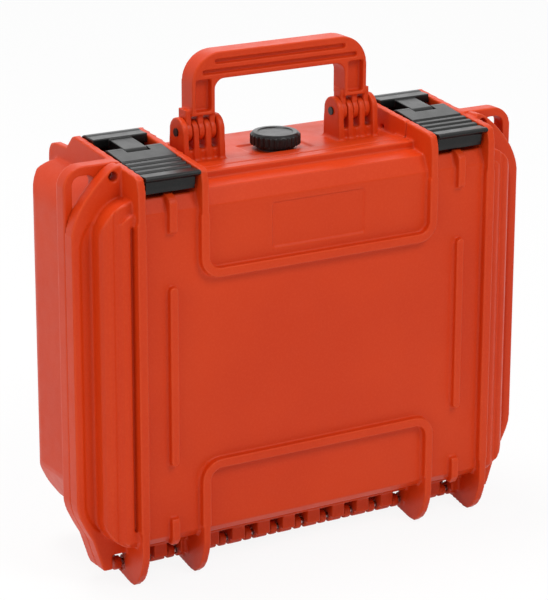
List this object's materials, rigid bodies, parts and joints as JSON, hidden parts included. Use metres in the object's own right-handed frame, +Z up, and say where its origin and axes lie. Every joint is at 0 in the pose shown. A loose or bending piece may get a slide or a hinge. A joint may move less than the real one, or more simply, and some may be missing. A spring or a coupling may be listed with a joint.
{
  "type": "first aid kit case",
  "caption": "Watertight moulded hard case for first aid supplies, with hinged lid, over-centre latches, folding handle and pressure valve.",
  "frame": {"origin": "on the ground under the middle of the case, standing on its hinge side", "axes": "+X along the width, -Y towards the lid, +Z up towards the handle"},
  "size_m": [0.336, 0.124, 0.3331],
  "materials": {
    "orange_plastic": "moulded polypropylene, fine grain",
    "black_plastic": "moulded polyamide, satin",
    "rubber": "smooth rubber",
    "steel": "ground steel rod",
    "foam": "closed-cell foam",
    "gauze": "woven gauze",
    "paper": "paper sachets",
    "card": "printed card, plain",
    "foil": "folded metallised film",
    "bottle_plastic": "translucent polyethylene",
    "cap_plastic": "moulded polypropylene",
    "pouch": "sealed film pouch"
  },
  "bodies": {
    "case": {"base_shell": "orange_plastic", "hinge_pin": "steel", "link_pin_left": "steel", "link_pin_right": "steel", "handle_pin_left": "black_plastic", "handle_pin_right": "black_plastic", "valve_body": "black_plastic", "valve_gasket": "rubber", "valve_nut": "steel", "foam_insert": "foam", "bandage_rolls": "gauze", "gauze_packs": "paper", "dressing_packs": "paper", "plaster_box": "card", "foil_blanket": "foil", "tweezers": "steel", "antiseptic_bottle": "bottle_plastic", "antiseptic_cap": "cap_plastic", "instant_cold_pack": "pouch"},
    "lid": {"lid_shell": "orange_plastic", "lid_seal": "rubber", "lid_foam": "foam"},
    "link_left": {"latch_link_left": "black_plastic", "lever_pin_left": "steel"},
    "link_right": {"latch_link_right": "black_plastic", "lever_pin_right": "steel"},
    "lever_left": {"latch_lever_left": "black_plastic"},
    "lever_right": {"latch_lever_right": "black_plastic"},
    "carry_handle": {"handle": "orange_plastic"},
    "knob": {"valve_knob": "black_plastic"}
  },
  "joints": [
    {"name": "lid_hinge", "type": "hinge", "parent": "case", "child": "lid", "pos_m": [0, -0.03, 0.01], "axis": [1, 0, 0], "range_deg": [0, 115]},
    {"name": "link_left_pivot", "type": "hinge", "parent": "case", "child": "link_left", "pos_m": [-0.10815, 0.02, 0.275], "axis": [1, 0, 0], "range_deg": [-95, 0]},
    {"name": "link_right_pivot", "type": "hinge", "parent": "case", "child": "link_right", "pos_m": [0.10815, 0.02, 0.275], "axis": [1, 0, 0], "range_deg": [-95, 0]},
    {"name": "lever_left_pivot", "type": "hinge", "parent": "link_left", "child": "lever_left", "pos_m": [-0.10815, -0.01, 0.273], "axis": [1, 0, 0], "range_deg": [-50, 0]},
    {"name": "lever_right_pivot", "type": "hinge", "parent": "link_right", "child": "lever_right", "pos_m": [0.10815, -0.01, 0.273], "axis": [1, 0, 0], "range_deg": [-50, 0]},
    {"name": "handle_fold", "type": "hinge", "parent": "case", "child": "carry_handle", "pos_m": [0, -0.002, 0.2825], "axis": [1, 0, 0], "range_deg": [-80, 80]},
    {"name": "valve_turn", "type": "hinge", "parent": "case", "child": "knob", "pos_m": [0, -0.002, 0.271], "axis": [0, 0, 1], "range_deg": [0, 270]}
  ]
}
